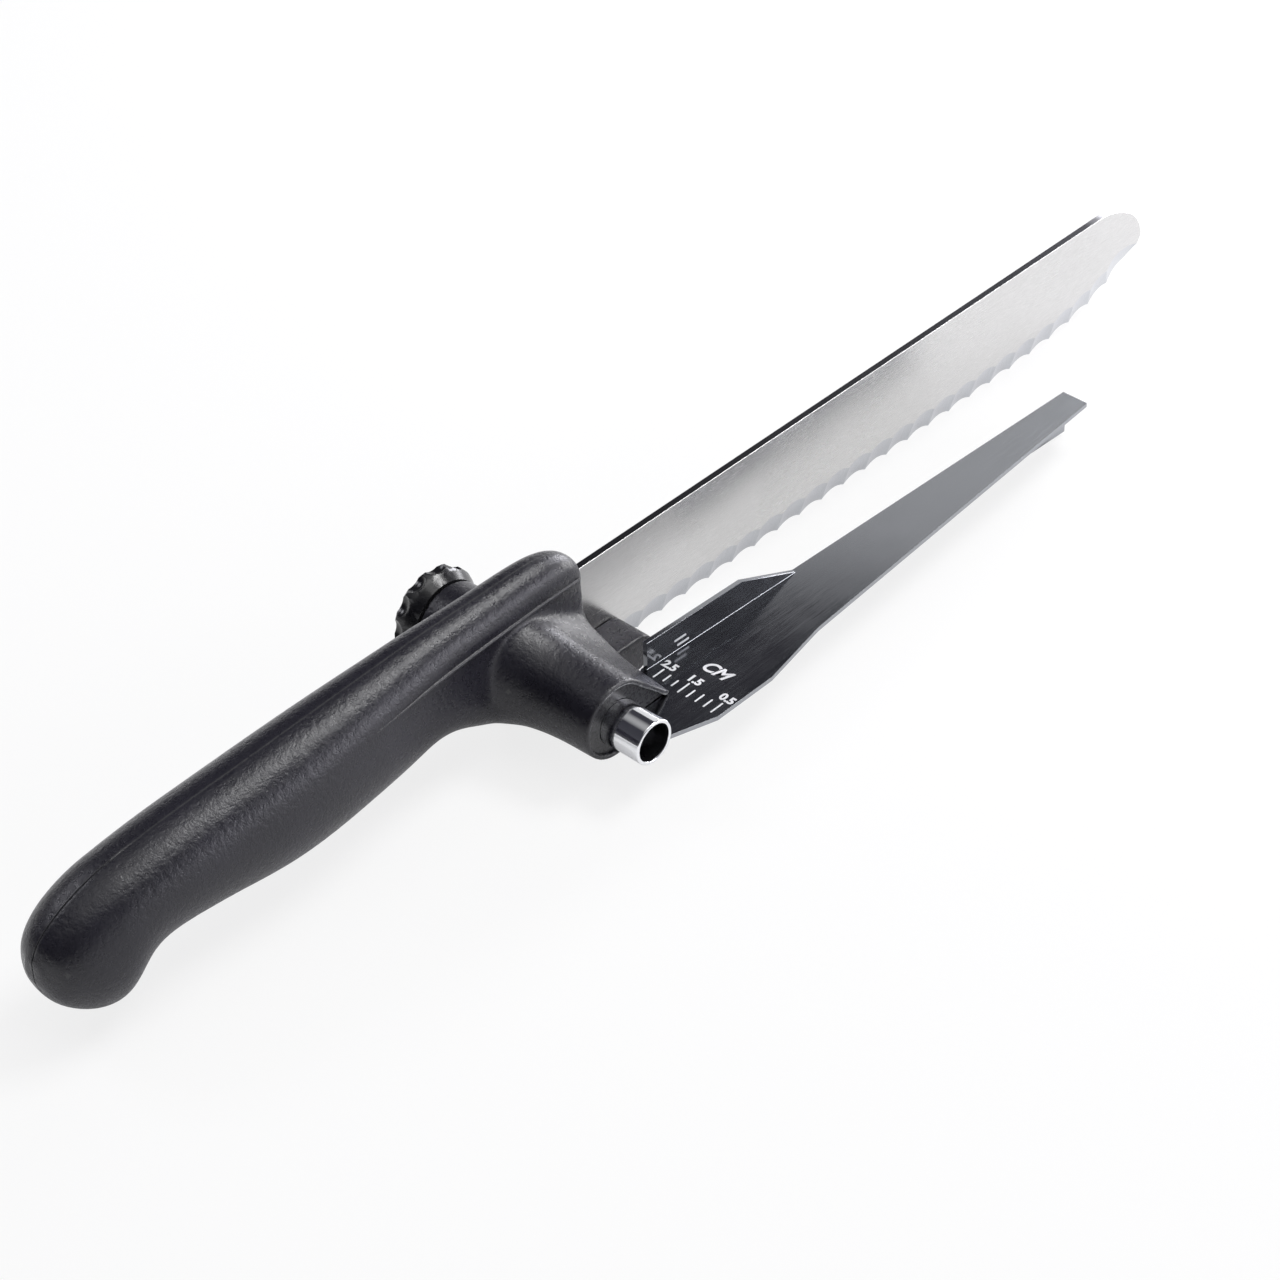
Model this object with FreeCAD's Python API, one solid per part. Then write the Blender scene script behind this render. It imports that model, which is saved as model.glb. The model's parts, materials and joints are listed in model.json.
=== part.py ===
import FreeCAD, Part
import math
import os

# Bread knife with an adjustable slice guide. All lengths are in millimetres.
# Sketch frame: X along the blade towards its tip, Y to the knob's side, Z up. Its zero is on the
# blade's middle plane, at the spine, where the handle ends. Every finished solid is moved by
# ORIGIN_SHIFT, so the part's own origin is the middle of the bounding box's bottom.

V = FreeCAD.Vector
os.makedirs("parts", exist_ok=True)

# ---- blade ----
BLADE_LENGTH = 213.0          # handle's front to the tip
BLADE_HEIGHT = 30.0
BLADE_THICKNESS = 1.8
BELLY_LENGTH = 62.0           # stretch before the tip where the edge curves up
TIP_DROP = 13.5               # tip below the spine
NOSE_LENGTH = 19.0            # stretch before the tip where the spine curves down
HEEL_GAP = 0.6                # handle's front to the heel
HEEL_ROUND = 2.5
SCALLOP_PITCH = 8.2
SCALLOP_DEPTH = 1.3           # rise of the edge between two points
SCALLOP_OVERLAP = 1.06        # chord of one scallop by the pitch, so that points are ground too
GRIND_HEIGHT = 7.2            # height of the ground scallops on the right face
PLAIN_HEEL = 14.0             # unground edge next to the handle
PLAIN_TIP = 2.0               # least unground edge next to the tip
TANG_THICKNESS = 2.0          # the tang is left unground
TANG_ROOT_LENGTH = 30.0       # high part of the tang
TANG_ROOT_HEIGHT = 21.0
TANG_LENGTH = 118.0
TANG_HEIGHT = 9.0
TANG_DROP = 3.0               # top of the tang below the spine
PIN_RADIUS = 2.0
PIN_LENGTH = 9.0
PIN_SPACING = 34.0
PIN_END = 18.0                # last pin to the tang's end

# ---- handle ----
HANDLE_LENGTH = 154.6
HANDLE_HEIGHT = 30.0
HANDLE_WIDTH = 24.4
LUG_REACH = 15.0              # front rest under the guide plate, ahead of the handle
LUG_RADIUS = 4.5
LUG_GAP = 1.0                 # below the guide plate
LUG_WIDTH = 10.0

# ---- knob and tube axis ----
AXIS_BACK = 17.3              # behind the handle's front
AXIS_DROP = 15.6              # below the spine
HORN_REACH = 31.0             # blade's middle plane to the horn's end face
HORN_RADIUS = 9.9
HORN_NOSE = 16.4              # axis to the horn's pointed nose
HORN_RECESS = 1.0             # depth of the end face inside its rim
HORN_RIM = 1.2
HORN_NOSE_ROUND = 1.5
BOSS_REACH = 22.0             # blade's middle plane to the knob boss's end face
BOSS_RADIUS = 10.1

# ---- guide tube, nut and plate ----
TUBE_RADIUS = 5.5
TUBE_WALL = 0.9
TUBE_LENGTH = 26.0
TUBE_SHOWN = 10.0             # tube in front of the horn at rest
BUSH_WALL = 1.5
BUSH_FLANGE = 1.2
NUT_LENGTH = 7.0
PLATE_THICKNESS = 1.2
PLATE_DROP = 1.9              # plate's top below the tube's axis
GUIDE_END = 148.0             # end of the plate, ahead of the handle
GUIDE_EDGE = 20.2             # blade's middle plane to the guide's working face, at the handle
TOE_OUT_DEG = 2.1             # the working face opens towards the tip
SCALE_WIDTH = 23.6            # plate's width where the scale is
TAPER_WIDTH = 18.6            # plate's width where its long taper starts
END_WIDTH = 7.2
SCALE_LENGTH = 18.0           # scale field ahead of the handle
TAPER_START = 38.0
ROOT_LENGTH = 15.0            # joint between plate and tube
LIP_HEIGHT = 7.4              # upturned lip next to the handle
LIP_START = 1.5
LIP_LEVEL_END = 32.0
LIP_END = 50.0
FLANGE_DEPTH = 11.4           # down-turned flange under the plate, from the plate's top
FLANGE_START = 58.0

# ---- spindle, bearings and knob ----
SPINDLE_RADIUS = 3.0
SCREW_CHAMFER = 0.6
CLIP_RADIUS = 4.2             # clip at the screw's free end, the nut's outer stop
CLIP_THICKNESS = 0.7
CLIP_GROOVE_RADIUS = 2.3
CLIP_LAND = 1.2               # screw's end past the clip
COLLAR_RADIUS = 5.0
COLLAR_THICKNESS = 2.0
COLLAR_OFFSET = 3.0           # blade's middle plane to the collar
WASHER_THICKNESS = 0.8
BEARING_RADIUS = 5.0
BEARING_FLANGE_RADIUS = 6.6
BEARING_FLANGE = 1.0
SPRING_HEIGHT = 0.8
SPRING_THICKNESS = 0.4
KNOB_RADIUS = 11.7
KNOB_THICKNESS = 5.6
KNOB_NECK_RADIUS = 10.0       # at the face next to the boss
KNOB_TAPER = 2.6              # length of the cone from there to the full radius
KNOB_FLUTES = 12
FLUTE_RADIUS = 3.5
FLUTE_DEPTH = 1.4
FLUTE_BACK = 0.8              # outer face to the centre of a flute's round end
FLUTE_PHASE = 0.75            # first flute's place, in flute pitches from +X
KNOB_ROUND = 0.8
END_RADIUS = 2.4              # flatted end of the spindle in the knob
END_FLAT = 1.7                # axis to the flat
SCREW_RADIUS = 1.2
SCREW_LENGTH = 5.0
SCREW_HEAD_RADIUS = 2.6
SCREW_HEAD = 1.5
CAP_RADIUS = 6.0
CAP_THICKNESS = 1.2

# ---- clearances ----
RUNNING = 0.05                # shaft in a bearing, radial
SLIDING = 0.08                # tube in its bush, radial
FREE = 0.3                    # between moving faces that never touch
BORE_FREE = 1.0               # spindle in the tang's hole, radial
OVERCUT = 1.0                 # cutters run past the faces that they open

# ---- travel of the guide ----
SCREW_LEAD = 2.5              # guide travel for one turn of the knob
TRAVEL_IN = 11.25
TRAVEL_OUT = 8.75

AXIS_X = -AXIS_BACK
AXIS_Z = -AXIS_DROP
PLATE_TOP = AXIS_Z - PLATE_DROP
PLATE_BOTTOM = PLATE_TOP - PLATE_THICKNESS
PLATE_MIDDLE = PLATE_TOP - PLATE_THICKNESS / 2.0
HALF_BLADE = BLADE_THICKNESS / 2.0
HALF_TANG = TANG_THICKNESS / 2.0
TUBE_MOUTH = -HORN_REACH - TUBE_SHOWN
TUBE_END = TUBE_MOUTH + TUBE_LENGTH
CLIP_FACE = TUBE_END - NUT_LENGTH - TRAVEL_OUT - RUNNING
SCREW_END = CLIP_FACE - CLIP_THICKNESS - CLIP_LAND
KNOB_INNER = BOSS_REACH + SPRING_HEIGHT
KNOB_OUTER = KNOB_INNER + KNOB_THICKNESS
TOE_OUT = math.radians(TOE_OUT_DEG)
GUIDE_SIDE = -GUIDE_EDGE - SCALE_WIDTH

BOX_LOW = V(-HANDLE_LENGTH, GUIDE_SIDE, -BLADE_HEIGHT)
BOX_HIGH = V(BLADE_LENGTH, KNOB_OUTER, 0)
ORIGIN_SHIFT = V(-(BOX_LOW.x + BOX_HIGH.x) / 2.0, -(BOX_LOW.y + BOX_HIGH.y) / 2.0, -BOX_LOW.z)
BIG = 4.0 * (BLADE_LENGTH + HANDLE_LENGTH)
FOOT_SHARE = 0.34             # rise of the handle's bottom arc by its half width
CREASE_DOWN = V(0, -0.20, -0.98)   # flank's direction under a sharp ridge, on the knob's side

# Handle sections, front to butt, as shares of HANDLE_LENGTH, HANDLE_HEIGHT and HANDLE_WIDTH:
# distance back, top, bottom, half width at the ridge, ridge's height, half width at the
# bottom, and how sharp the ridge is (1 is a crease that undercuts, 0 is smooth).
HANDLE_SECTIONS = (
    (0.000, 0.125, -0.860, 0.150, 0.000, 0.150, 1.00),
    (0.012, 0.200, -0.890, 0.166, 0.020, 0.165, 1.00),
    (0.038, 0.280, -0.905, 0.184, 0.040, 0.180, 1.00),
    (0.080, 0.325, -0.905, 0.200, 0.053, 0.190, 0.90),
    (0.155, 0.330, -0.860, 0.228, 0.060, 0.210, 0.75),
    (0.235, 0.327, -0.690, 0.265, 0.070, 0.230, 0.55),
    (0.325, 0.320, -0.560, 0.315, 0.078, 0.262, 0.30),
    (0.380, 0.307, -0.600, 0.345, 0.067, 0.286, 0.20),
    (0.440, 0.293, -0.636, 0.375, 0.055, 0.310, 0.10),
    (0.570, 0.257, -0.684, 0.418, 0.025, 0.345, 0.00),
    (0.700, 0.225, -0.620, 0.424, 0.000, 0.345, 0.00),
    (0.770, 0.204, -0.580, 0.421, -0.012, 0.341, 0.00),
    (0.812, 0.183, -0.574, 0.417, -0.025, 0.338, 0.00),
    (0.842, 0.164, -0.608, 0.413, -0.036, 0.335, 0.00),
    (0.868, 0.147, -0.705, 0.409, -0.050, 0.332, 0.00),
    (0.890, 0.123, -0.812, 0.403, -0.068, 0.328, 0.00),
    (0.912, 0.088, -0.856, 0.391, -0.094, 0.318, 0.00),
    (0.940, 0.030, -0.826, 0.364, -0.138, 0.295, 0.00),
    (0.966, -0.048, -0.742, 0.312, -0.192, 0.255, 0.00),
    (0.987, -0.138, -0.620, 0.222, -0.254, 0.185, 0.00),
    (1.000, -0.250, -0.440, 0.100, -0.316, 0.080, 0.00),
)

# Horn sections from its end face inwards. The first is a share of HORN_REACH, the others are
# shares of HORN_RADIUS: distance from the blade's middle plane, radius, centre moved back,
# centre's lift above the tube's axis, nose's height above the plate.
HORN_SECTIONS = (
    (1.00, 0.98, 0.08, 0.12, 0.02),
    (0.82, 1.00, 0.08, 0.13, 0.08),
    (0.62, 1.03, 0.10, 0.15, 0.17),
    (0.46, 1.08, 0.15, 0.18, 0.31),
    (0.33, 1.15, 0.25, 0.24, 0.50),
    (0.22, 1.24, 0.40, 0.30, 0.70),
    (0.10, 1.32, 0.55, 0.36, 0.85),
)

# Knob boss sections from its end face inwards: share of BOSS_REACH, share of BOSS_RADIUS.
BOSS_SECTIONS = ((1.00, 1.00), (0.80, 1.02), (0.60, 1.07), (0.42, 1.15), (0.28, 1.24), (0.16, 1.32))


# ---------------------------------------------------------------- helpers

def save(shape, name):
    """Move a finished shape to the part's frame and write it under its node's name."""
    placed = shape.copy()
    placed.translate(ORIGIN_SHIFT)
    placed.exportStep("parts/" + name + ".step")
    print(name, len(placed.Solids), round(placed.Volume, 1), placed.isValid())


def block(low, high):
    """Box between two corners."""
    size = high - low
    return Part.makeBox(size.x, size.y, size.z, low)


def rod(radius, y_start, y_end, x=AXIS_X, z=AXIS_Z):
    """Cylinder along Y, on the knob's axis unless x and z say otherwise."""
    return Part.makeCylinder(radius, y_end - y_start, V(x, y_start, z), V(0, 1, 0))


def sleeve(outer, inner, y_start, y_end):
    """Plain ring along the knob's axis."""
    return rod(outer, y_start, y_end).cut(rod(inner, y_start - OVERCUT, y_end + OVERCUT))


def turned(points):
    """Solid of revolution about the knob's axis from (radius, y) corners."""
    corners = [V(AXIS_X + radius, y, AXIS_Z) for radius, y in points]
    face = Part.Face(Part.makePolygon(corners + corners[:1]))
    return face.revolve(V(AXIS_X, 0, AXIS_Z), V(0, 1, 0), 360)


def prism(points, z_low, z_high):
    """Straight prism along Z from (x, y) corners."""
    corners = [V(x, y, z_low) for x, y in points]
    face = Part.Face(Part.makePolygon(corners + corners[:1]))
    return face.extrude(V(0, 0, z_high - z_low))


def bezier(points):
    """Bezier edge through its control points."""
    curve = Part.BezierCurve()
    curve.setPoles(points)
    return curve.toShape()


def wall_behind_edge(x_start, x_end, z_low, z_high):
    """Vertical sheet whose left face is the guide's working face."""
    corners = [
        (x_start, edge_y(x_start)),
        (x_end, edge_y(x_end)),
        (x_end, edge_y(x_end) - PLATE_THICKNESS),
        (x_start, edge_y(x_start) - PLATE_THICKNESS),
    ]
    return prism(corners, z_low, z_high)


def edge_y(x):
    """Y of the guide's working face at x."""
    return -GUIDE_EDGE - max(x, 0.0) * math.tan(TOE_OUT)


# ---------------------------------------------------------------- blade

def belly_edge():
    """Curved stretch of the cutting edge, from the straight part to the tip."""
    start = BLADE_LENGTH - BELLY_LENGTH
    return bezier([
        V(start, 0, -BLADE_HEIGHT),
        V(start + 0.52 * BELLY_LENGTH, 0, -BLADE_HEIGHT),
        V(BLADE_LENGTH - 0.12 * BELLY_LENGTH, 0, -BLADE_HEIGHT + 0.16 * (BLADE_HEIGHT - TIP_DROP)),
        V(BLADE_LENGTH, 0, -TIP_DROP),
    ])


def nose_edge():
    """Rounded front of the blade, from the tip up to the spine."""
    return bezier([
        V(BLADE_LENGTH, 0, -TIP_DROP),
        V(BLADE_LENGTH + 0.01 * NOSE_LENGTH, 0, -0.55 * TIP_DROP),
        V(BLADE_LENGTH - 0.45 * NOSE_LENGTH, 0, 0),
        V(BLADE_LENGTH - NOSE_LENGTH, 0, 0),
    ])


def blade_outline():
    """Closed outline of the blade ahead of the handle, on the middle plane."""
    nose_start = V(BLADE_LENGTH - NOSE_LENGTH, 0, 0)
    top_heel = V(HEEL_GAP, 0, 0)
    low_heel = V(HEEL_GAP, 0, -BLADE_HEIGHT)
    belly_start = V(BLADE_LENGTH - BELLY_LENGTH, 0, -BLADE_HEIGHT)
    path = [nose_start, top_heel, low_heel, belly_start]
    edges = [Part.LineSegment(path[i], path[i + 1]).toShape() for i in range(len(path) - 1)]
    return Part.Wire(edges + [belly_edge(), nose_edge()])


def tang_body():
    """High root and slim tail of the tang."""
    root = block(V(-TANG_ROOT_LENGTH, -HALF_TANG, -TANG_DROP - TANG_ROOT_HEIGHT),
                 V(HEEL_GAP, HALF_TANG, -TANG_DROP))
    tail = block(V(-TANG_LENGTH, -HALF_TANG, -TANG_DROP - TANG_HEIGHT),
                 V(HEEL_GAP, HALF_TANG, -TANG_DROP))
    return root.fuse(tail).removeSplitter()


def scallop(place, tangent):
    """Grinding wheel's body at one scallop: a rod that leans out of the right face."""
    lean = math.atan2(BLADE_THICKNESS, GRIND_HEIGHT - SCALLOP_DEPTH)
    half_chord = SCALLOP_OVERLAP * SCALLOP_PITCH / 2.0
    overcut = SCALLOP_DEPTH * math.tan(lean)
    radius = (half_chord ** 2 + overcut ** 2) / (2.0 * overcut)
    upward = V(-tangent.z, 0, tangent.x)
    axis = upward * math.cos(lean) + V(0, -1, 0) * math.sin(lean)
    outward = V(0, -1, 0) * math.cos(lean) - upward * math.sin(lean)
    surface_point = place + upward * SCALLOP_DEPTH + V(0, HALF_BLADE, 0)
    centre = surface_point + outward * radius
    reach = 2.0 * GRIND_HEIGHT
    return Part.makeCylinder(radius, 2.0 * reach, centre - axis * reach, axis)


def scallop_places():
    """Middle and direction of every scallop along the cutting edge."""
    start = V(PLAIN_HEEL, 0, -BLADE_HEIGHT)
    end = V(BLADE_LENGTH - BELLY_LENGTH, 0, -BLADE_HEIGHT)
    straight = (end - start).Length
    belly = belly_edge()
    places = []
    count = int((straight + belly.Length - PLAIN_TIP) / SCALLOP_PITCH)
    for index in range(count):
        along = (index + 0.5) * SCALLOP_PITCH
        if along < straight:
            places.append((start + V(along, 0, 0), V(1, 0, 0)))
        else:
            parameter = belly.getParameterByLength(along - straight)
            places.append((belly.valueAt(parameter), belly.tangentAt(parameter)))
    return places


def pin_places():
    """X of the tang's pins, from the tang's end to its high part."""
    last = -TANG_LENGTH + PIN_END
    room = -TANG_ROOT_LENGTH - 2.0 * PIN_RADIUS - last
    return [last + index * PIN_SPACING for index in range(int(room / PIN_SPACING) + 1)]


def blade():
    """Serrated blade and its tang, one steel piece."""
    face = Part.Face(blade_outline())
    body = face.extrude(V(0, BLADE_THICKNESS, 0))
    body.translate(V(0, -HALF_BLADE, 0))
    for place, tangent in scallop_places():
        body = body.cut(scallop(place, tangent))
    hole = rod(SPINDLE_RADIUS + BORE_FREE, -BIG, BIG)
    return body.fuse(tang_body()).cut([hole] + tang_pins().Solids)


def tang_pins():
    """Pins that lock the tang between the handle's halves."""
    pin_z = -TANG_DROP - TANG_HEIGHT / 2.0
    half = PIN_LENGTH / 2.0
    return Part.makeCompound([rod(PIN_RADIUS, -half, half, x, pin_z) for x in pin_places()])


# ---------------------------------------------------------------- handle

def handle_section(back, top, bottom, ridge_half, ridge, bottom_half, crease):
    """One cross-section of the handle: top arc, two flanks and bottom arc."""
    x = -back * HANDLE_LENGTH
    z_top = top * HANDLE_HEIGHT
    z_bottom = bottom * HANDLE_HEIGHT
    z_ridge = ridge * HANDLE_HEIGHT
    y_ridge = ridge_half * HANDLE_WIDTH
    y_bottom = bottom_half * HANDLE_WIDTH
    bottom_rise = FOOT_SHARE * y_bottom
    z_foot = z_bottom + bottom_rise

    top_rise = z_top - z_ridge
    top_radius = (y_ridge ** 2 + top_rise ** 2) / (2.0 * top_rise)
    smooth = V(0, (z_ridge - z_top + top_radius) / top_radius, -y_ridge / top_radius)
    leaving = smooth * (1.0 - crease) + CREASE_DOWN * crease
    bottom_radius = (y_bottom ** 2 + bottom_rise ** 2) / (2.0 * bottom_rise)
    arriving = V(0, (bottom_radius - bottom_rise) / bottom_radius, y_bottom / bottom_radius)
    pull = (z_ridge - z_foot) / 3.0

    ridge_point = V(x, y_ridge, z_ridge)
    foot_point = V(x, y_bottom, z_foot)
    upper = ridge_point + leaving * pull
    lower = foot_point + arriving * pull

    def mirror(point):
        return V(point.x, -point.y, point.z)

    over = Part.Arc(ridge_point, V(x, 0, z_top), mirror(ridge_point)).toShape()
    right = bezier([mirror(ridge_point), mirror(upper), mirror(lower), mirror(foot_point)])
    under = Part.Arc(mirror(foot_point), V(x, 0, z_bottom), foot_point).toShape()
    left = bezier([foot_point, lower, upper, ridge_point])
    return Part.Wire([over, right, under, left])


def handle_body():
    """Grip and neck without horn and boss."""
    return Part.makeLoft([handle_section(*row) for row in HANDLE_SECTIONS], True, False)


def horn_section(reach, radius_share, back_share, lift_share, nose_rise, inset=0.0):
    """Teardrop cross-section of the horn, with its nose ahead of the tube."""
    y = -reach * HORN_REACH
    centre = V(AXIS_X - back_share * HORN_RADIUS, y, AXIS_Z + lift_share * HORN_RADIUS)
    nose = V(AXIS_X + HORN_NOSE - HORN_NOSE_ROUND, y, PLATE_MIDDLE + nose_rise * HORN_RADIUS)
    radius = radius_share * HORN_RADIUS - inset
    nose_radius = HORN_NOSE_ROUND - inset
    span = nose - centre
    heading = math.atan2(span.z, span.x)
    opening = math.acos((radius - nose_radius) / span.Length)

    def on_circle(middle, size, angle):
        return middle + V(math.cos(angle), 0, math.sin(angle)) * size

    big_upper = on_circle(centre, radius, heading + opening)
    big_back = on_circle(centre, radius, heading + math.pi)
    big_lower = on_circle(centre, radius, heading - opening)
    small_lower = on_circle(nose, nose_radius, heading - opening)
    small_front = on_circle(nose, nose_radius, heading)
    small_upper = on_circle(nose, nose_radius, heading + opening)
    return Part.Wire([
        Part.Arc(big_upper, big_back, big_lower).toShape(),
        Part.LineSegment(big_lower, small_lower).toShape(),
        Part.Arc(small_lower, small_front, small_upper).toShape(),
        Part.LineSegment(small_upper, big_upper).toShape(),
    ])


def horn_face(start, depth):
    """Teardrop plate inside the horn's rim, from Y start inwards."""
    plate = Part.Face(horn_section(*HORN_SECTIONS[0], inset=HORN_RIM)).extrude(V(0, depth, 0))
    plate.translate(V(0, start + HORN_REACH, 0))
    return plate


def horn():
    """Flared horn that carries the guide's tube."""
    return Part.makeLoft([horn_section(*row) for row in HORN_SECTIONS], True, False)


def boss():
    """Flared boss on the knob's side."""
    rings = []
    for reach, share in BOSS_SECTIONS:
        circle = Part.Circle(V(AXIS_X, reach * BOSS_REACH, AXIS_Z), V(0, 1, 0), share * BOSS_RADIUS)
        rings.append(Part.Wire([circle.toShape()]))
    return Part.makeLoft(rings, True, False)


def front_lug():
    """Rounded rest of the right half, beside the blade and under the guide plate."""
    z_top = PLATE_BOTTOM - LUG_GAP
    z_mid = z_top - LUG_RADIUS
    x_mid = LUG_REACH - LUG_RADIUS
    bar = block(V(-LUG_RADIUS, -HALF_BLADE - LUG_WIDTH, z_top - 2.0 * LUG_RADIUS),
                V(x_mid, -HALF_BLADE, z_top))
    return bar.fuse(rod(LUG_RADIUS, -HALF_BLADE - LUG_WIDTH, -HALF_BLADE, x_mid, z_mid))


def tang_pocket():
    """Space of the tang and its pins in the handle."""
    return tang_body().fuse(tang_pins().Solids)


def plate_slot():
    """Slot of the horn in which the guide plate moves."""
    slot_end = max(TUBE_MOUTH + ROOT_LENGTH, edge_y(0)) + TRAVEL_IN + FREE
    return block(V(AXIS_X, -HORN_REACH - OVERCUT, PLATE_BOTTOM - FREE),
                 V(AXIS_X + HORN_NOSE + OVERCUT, slot_end, PLATE_TOP + FREE))


def handle_right():
    """Handle half on the guide's side, with horn and front rest."""
    half = handle_body().common(block(V(-BIG, -BIG, -BIG), V(BIG, 0, BIG)))
    body = half.fuse([horn(), front_lug()]).removeSplitter()
    seat_depth = HORN_RECESS + BUSH_FLANGE
    tube_room = rod(TUBE_RADIUS + FREE, -HORN_REACH, TUBE_END + TRAVEL_IN + RUNNING)
    screw_room = rod(SPINDLE_RADIUS + BORE_FREE, -HORN_REACH, 0)
    bush_seat = rod(TUBE_RADIUS + SLIDING + BUSH_WALL, -HORN_REACH, bush_inner_end())
    face_seat = horn_face(-HORN_REACH - OVERCUT, seat_depth + OVERCUT)
    blade_room = block(V(0, -HALF_BLADE, -BIG), V(BIG, BIG, BIG))
    left_side = block(V(-BIG, 0, -BIG), V(BIG, BIG, BIG))
    return body.cut([tube_room, screw_room, bush_seat, face_seat, plate_slot(), tang_pocket(),
                     blade_room, left_side])


def handle_left():
    """Handle half on the knob's side, with the knob's boss."""
    half = handle_body().common(block(V(-BIG, 0, -BIG), V(BIG, BIG, BIG)))
    body = half.fuse(boss()).removeSplitter()
    collar_room = rod(COLLAR_RADIUS + FREE, 0, bearing_start())
    bearing_seat = rod(BEARING_RADIUS, 0, BOSS_REACH + OVERCUT)
    flange_seat = rod(BEARING_FLANGE_RADIUS, BOSS_REACH - BEARING_FLANGE, BOSS_REACH + OVERCUT)
    right_side = block(V(-BIG, -BIG, -BIG), V(BIG, 0, BIG))
    return body.cut([collar_room, bearing_seat, flange_seat, tang_pocket(), right_side])


# ---------------------------------------------------------------- bearings and spindle

def bush_inner_end():
    """Y where the guide bush ends inside the horn."""
    return -HORN_REACH / 2.0


def bearing_start():
    """Y of the bearing's inner end, behind collar and thrust washer."""
    return COLLAR_OFFSET + COLLAR_THICKNESS + WASHER_THICKNESS + 2.0 * RUNNING


def guide_bush():
    """Flanged sleeve in the horn, slotted for the plate."""
    face = -HORN_REACH + HORN_RECESS
    inner = TUBE_RADIUS + SLIDING
    tube_side = sleeve(inner + BUSH_WALL, inner, face, bush_inner_end())
    flange = horn_face(face, BUSH_FLANGE).cut(rod(inner, -BIG, BIG))
    return tube_side.fuse(flange).removeSplitter().cut(plate_slot())


def spindle():
    """Screw with its collar, journal, clip groove and flatted end."""
    chamfer_end = SCREW_END + SCREW_CHAMFER
    cone = Part.makeCone(SPINDLE_RADIUS - SCREW_CHAMFER, SPINDLE_RADIUS, SCREW_CHAMFER,
                         V(AXIS_X, SCREW_END, AXIS_Z), V(0, 1, 0))
    thread = rod(SPINDLE_RADIUS, chamfer_end, COLLAR_OFFSET)
    collar = rod(COLLAR_RADIUS, COLLAR_OFFSET, COLLAR_OFFSET + COLLAR_THICKNESS)
    journal = rod(SPINDLE_RADIUS, COLLAR_OFFSET, KNOB_INNER)
    body = thread.fuse([cone, collar, journal, knob_end()]).removeSplitter()
    groove = sleeve(SPINDLE_RADIUS + OVERCUT, CLIP_GROOVE_RADIUS, CLIP_FACE - CLIP_THICKNESS, CLIP_FACE)
    return body.cut([groove, rod(SCREW_RADIUS, screw_start(), BIG)])


def end_clip():
    """Open clip in the screw's groove, where the nut stops at its outer limit."""
    ring = sleeve(CLIP_RADIUS, CLIP_GROOVE_RADIUS, CLIP_FACE - CLIP_THICKNESS, CLIP_FACE)
    half_mouth = 0.8 * CLIP_GROOVE_RADIUS
    mouth = block(V(AXIS_X - half_mouth, CLIP_FACE - CLIP_THICKNESS - OVERCUT, AXIS_Z),
                  V(AXIS_X + half_mouth, CLIP_FACE + OVERCUT, AXIS_Z + CLIP_RADIUS + OVERCUT))
    return ring.cut(mouth)


def knob_end():
    """Flatted end that turns the spindle with the knob."""
    flat_side = block(V(AXIS_X + END_FLAT, -BIG, -BIG), V(BIG, BIG, BIG))
    return rod(END_RADIUS, KNOB_INNER, screw_seat()).cut(flat_side)


def screw_seat():
    """Y of the face under the knob screw's head."""
    return KNOB_OUTER - CAP_THICKNESS - SCREW_HEAD - FREE


def screw_start():
    """Y of the knob screw's inner end."""
    return screw_seat() - SCREW_LENGTH


def thrust_washer():
    """Washer between the collar and the bearing."""
    start = COLLAR_OFFSET + COLLAR_THICKNESS + RUNNING
    return sleeve(COLLAR_RADIUS, SPINDLE_RADIUS + RUNNING, start, start + WASHER_THICKNESS)


def knob_bearing():
    """Bush of the spindle in the boss, with its flange sunk flush."""
    tube_side = sleeve(BEARING_RADIUS, SPINDLE_RADIUS + RUNNING, bearing_start(), BOSS_REACH)
    flange = sleeve(BEARING_FLANGE_RADIUS, SPINDLE_RADIUS + RUNNING,
                    BOSS_REACH - BEARING_FLANGE, BOSS_REACH)
    return tube_side.fuse(flange).removeSplitter()


def spring_washer():
    """Cone washer that keeps the knob's setting by friction."""
    low = BOSS_REACH
    high = KNOB_INNER - RUNNING
    inner = SPINDLE_RADIUS + RUNNING
    outer = BEARING_FLANGE_RADIUS - FREE
    return turned([(inner, high - SPRING_THICKNESS), (inner, high),
                   (outer, low + SPRING_THICKNESS), (outer, low)])


# ---------------------------------------------------------------- knob

def knob():
    """Fluted hand knob."""
    wide = KNOB_RADIUS
    body = turned([
        (0, KNOB_INNER),
        (KNOB_NECK_RADIUS, KNOB_INNER),
        (wide, KNOB_INNER + KNOB_TAPER),
        (wide, KNOB_OUTER - KNOB_ROUND),
        (wide - KNOB_ROUND, KNOB_OUTER),
        (0, KNOB_OUTER),
    ])
    flutes = []
    for index in range(KNOB_FLUTES):
        angle = 2.0 * math.pi * (index + FLUTE_PHASE) / KNOB_FLUTES
        offset = wide - FLUTE_DEPTH + FLUTE_RADIUS
        x = AXIS_X + offset * math.cos(angle)
        z = AXIS_Z + offset * math.sin(angle)
        flutes.append(rod(FLUTE_RADIUS, KNOB_OUTER - FLUTE_BACK, KNOB_OUTER + OVERCUT, x, z))
        flutes.append(Part.makeSphere(FLUTE_RADIUS, V(x, KNOB_OUTER - FLUTE_BACK, z)))
    cap_seat = rod(CAP_RADIUS, KNOB_OUTER - CAP_THICKNESS, KNOB_OUTER + OVERCUT)
    head_room = rod(SCREW_HEAD_RADIUS + FREE, screw_seat(), KNOB_OUTER)
    return body.cut(flutes + [cap_seat, head_room, knob_end()])


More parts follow.
